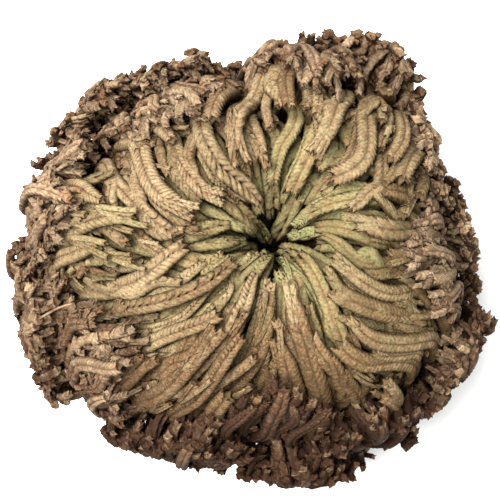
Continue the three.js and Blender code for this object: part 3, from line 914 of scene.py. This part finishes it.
# The last colour is the painted shade, which a leaf turns to as its lightness falls.
COLOUR_NAMES = ("Straw", "Brown", "Green", "Rust", "PaintedShade")
COLOURS = dict(
    young=(
        (0.2, 0.167, 0.078), (0.122, 0.086, 0.039), (0.144, 0.155, 0.068), (0.144, 0.072, 0.036),
        (0.046, 0.03, 0.011),
    ),
    middle=(
        (0.228, 0.172, 0.095), (0.063, 0.038, 0.018), (0.153, 0.153, 0.065), (0.131, 0.068, 0.034),
        (0.03, 0.0175, 0.007),
    ),
    old=(
        (0.262, 0.19, 0.113), (0.034, 0.0195, 0.011), (0.151, 0.115, 0.054), (0.13, 0.063, 0.031),
        (0.017, 0.008, 0.0045),
    ),
    root=(
        (0.2, 0.13, 0.08), (0.08, 0.05, 0.03), (0.1, 0.07, 0.04), (0.25, 0.12, 0.05), (0.02, 0.014, 0.01),
    ),
)
SPECULAR = 0.04
BUMP = dict(Strength=0.4, Distance=0.0002)


def set_input(tree, socket, value):
    """Links a socket, or sets a plain value."""
    if isinstance(value, bpy.types.NodeSocket):
        tree.links.new(value, socket)
    else:
        socket.default_value = value


def add_node(tree, kind, inputs=None, **settings):
    node = tree.nodes.new(kind)
    for key, value in settings.items():
        setattr(node, key, value)
    for key, value in (inputs or {}).items():
        set_input(tree, node.inputs[key], value)
    return node


def mix_colour(tree, mode, factor, a, b):
    node = add_node(tree, "ShaderNodeMix", data_type="RGBA", blend_type=mode)
    for index, value in ((0, factor), (6, a), (7, b)):  # the sockets of a colour mix
        set_input(tree, node.inputs[index], value)
    return node.outputs[2]


def calculate(tree, operation, *values):
    return add_node(tree, "ShaderNodeMath", dict(enumerate(values)), operation=operation).outputs[0]


def spread(tree, value, low, high, to_low=0.0, to_high=1.0):
    """A value stretched from one range to another, and held inside it."""
    return add_node(
        tree, "ShaderNodeMapRange",
        {"Value": value, "From Min": low, "From Max": high, "To Min": to_low, "To Max": to_high},
    ).outputs[0]


def leaf_finish_group():
    """Colour, roughness and height of scale leaves from the piece's own finish values and fine noise.

    Straw turns brown with the tone and in patches, then green, then rusty in specks. A fine grain mottles
    that, and where the lightness, which is painted shade, nears 0 it gives way to the painted shade colour.
    """
    tree = bpy.data.node_groups.new("leaf_finish", "ShaderNodeTree")
    for name in COLOUR_NAMES:
        tree.interface.new_socket(name=name, in_out="INPUT", socket_type="NodeSocketColor")
    for name, kind in (("Color", "Color"), ("Roughness", "Float"), ("Height", "Float")):
        tree.interface.new_socket(name=name, in_out="OUTPUT", socket_type=f"NodeSocket{kind}")
    given = add_node(tree, "NodeGroupInput").outputs
    finish = add_node(tree, "ShaderNodeAttribute", attribute_name="finish").outputs
    shade_and_mottle, green, tone = add_node(tree, "ShaderNodeSeparateColor", {"Color": finish["Color"]}).outputs
    where = add_node(tree, "ShaderNodeTexCoord").outputs["Object"]

    def noise(scale, detail):
        inputs = {"Vector": where, "Scale": scale, "Detail": detail}
        return add_node(tree, "ShaderNodeTexNoise", inputs).outputs[0]

    broad, grain, blotch = noise(140.0, 3.0), noise(2600.0, 2.0), noise(700.0, 2.0)
    patch = calculate(
        tree, "ADD", spread(tree, broad, 0.35, 0.65, 0, 0.3), spread(tree, blotch, 0.35, 0.65, 0, 0.4),
    )
    browning = calculate(tree, "MULTIPLY_ADD", tone, 0.6, patch)
    dry = mix_colour(tree, "MIX", browning, given["Straw"], given["Brown"])
    greener = calculate(tree, "MULTIPLY", green, spread(tree, blotch, 0.3, 0.6, 0.55, 1.0))
    living = mix_colour(tree, "MIX", greener, dry, given["Green"])
    rusting = calculate(tree, "MULTIPLY_ADD", spread(tree, grain, 0.5, 0.66), 0.42, finish["Alpha"])
    rusty = calculate(tree, "MULTIPLY", rusting, spread(tree, blotch, 0.3, 0.6, 0.4, 1.0))
    worn = mix_colour(tree, "MIX", rusty, living, given["Rust"])
    mottled = mix_colour(tree, "MULTIPLY", 1.0, worn, spread(tree, grain, 0.3, 0.7, 0.56, 1.4))
    # Painted shade: the leaf colour gives way to the shade colour as the lightness falls.
    lit = spread(tree, shade_and_mottle, 0.0, 0.85)
    result = add_node(tree, "NodeGroupOutput").inputs
    set_input(tree, result["Color"], mix_colour(tree, "MIX", lit, given["PaintedShade"], mottled))
    set_input(tree, result["Roughness"], spread(tree, grain, 0.0, 1.0, 0.6, 0.9))
    set_input(tree, result["Height"], grain)
    return tree


def leaf_material(name, group, colours):
    """Dry scale leaves in their own colours, with a fine grain."""
    material = bpy.data.materials.new(name)
    material.use_nodes = True
    tree = material.node_tree
    shader = tree.nodes["Principled BSDF"].inputs
    shader["Specular IOR Level"].default_value = SPECULAR
    leaf = add_node(tree, "ShaderNodeGroup", node_tree=group)
    for key, value in zip(COLOUR_NAMES, colours):
        leaf.inputs[key].default_value = (*value, 1)
    bump = add_node(tree, "ShaderNodeBump", {"Height": leaf.outputs["Height"], **BUMP})
    set_input(tree, shader["Base Color"], leaf.outputs["Color"])
    set_input(tree, shader["Roughness"], leaf.outputs["Roughness"])
    set_input(tree, shader["Normal"], bump.outputs["Normal"])
    return material


def make_materials():
    group = leaf_finish_group()
    return {
        kind: leaf_material("root_mat" if kind == "root" else f"{kind}_leaf", group, colours)
        for kind, colours in COLOURS.items()
    }


# ---- Stage ----

PICTURE_WIDTH = 84 * MILLIMETRE  # the width that the picture takes in at the ball's widest height
WIDEST = 33 * MILLIMETRE
CAMERA_DISTANCE = 0.42
CAMERA_TILT = math.radians(3)
SENSOR_WIDTH = 36
AIM = (0.0, 1.5 * MILLIMETRE)
FLOOR_REACH = 1.5
FLOOR_GREY = 0.93
KEY_LIGHT = dict(place=(-0.2, 0.06, 0.6), size=0.4, power=19)
SKY_STRENGTH = 0.95


def make_camera():
    """Looks down on the ball, a little from the front."""
    camera = place_object("camera", bpy.data.cameras.new("camera"))
    camera.data.sensor_width = SENSOR_WIDTH
    camera.data.lens = SENSOR_WIDTH * CAMERA_DISTANCE / PICTURE_WIDTH
    camera.data.clip_start = 0.01
    camera.location = (
        AIM[0],
        AIM[1] - CAMERA_DISTANCE * math.sin(CAMERA_TILT),
        WIDEST + CAMERA_DISTANCE * math.cos(CAMERA_TILT),
    )
    camera.rotation_euler = (CAMERA_TILT, 0, 0)
    bpy.context.scene.camera = camera


def make_light(name, place, size, power):
    """A square area light that faces the ball."""
    light = bpy.data.lights.new(name, "AREA")
    light.size, light.energy = size, power
    thing = place_object(name, light)
    thing.location = place
    away = np.array(place) - (0, 0, WIDEST)
    tilt = math.acos(away[2] / np.linalg.norm(away))
    thing.rotation_euler = (tilt, 0, math.atan2(away[1], away[0]) + math.pi / 2)


def make_stage():
    """A pale floor, soft light from above and behind, and a bright even sky."""
    mesh = bpy.data.meshes.new("floor")
    r = FLOOR_REACH
    mesh.from_pydata([(-r, -r, 0), (r, -r, 0), (r, r, 0), (-r, r, 0)], [], [(0, 1, 2, 3)])
    floor = place_object("floor", mesh)
    paint = bpy.data.materials.new("floor_paint")
    paint.use_nodes = True
    shader = paint.node_tree.nodes["Principled BSDF"].inputs
    shader["Base Color"].default_value = (FLOOR_GREY, FLOOR_GREY, FLOOR_GREY, 1)
    shader["Roughness"].default_value = 0.95
    mesh.materials.append(paint)
    make_light("key", **KEY_LIGHT)
    world = bpy.data.worlds.new("sky")
    world.use_nodes = True
    sky = world.node_tree.nodes["Background"].inputs
    sky["Color"].default_value = (1, 1, 1, 1)
    sky["Strength"].default_value = SKY_STRENGTH
    bpy.context.scene.world = world
    bpy.context.scene.view_settings.view_transform = "Standard"


# ---- The scene ----

make_camera()
make_stage()
materials = make_materials()
dress_crown(materials)
for index in range(FROND_COUNT):
    dress_frond(Frond(index), materials)
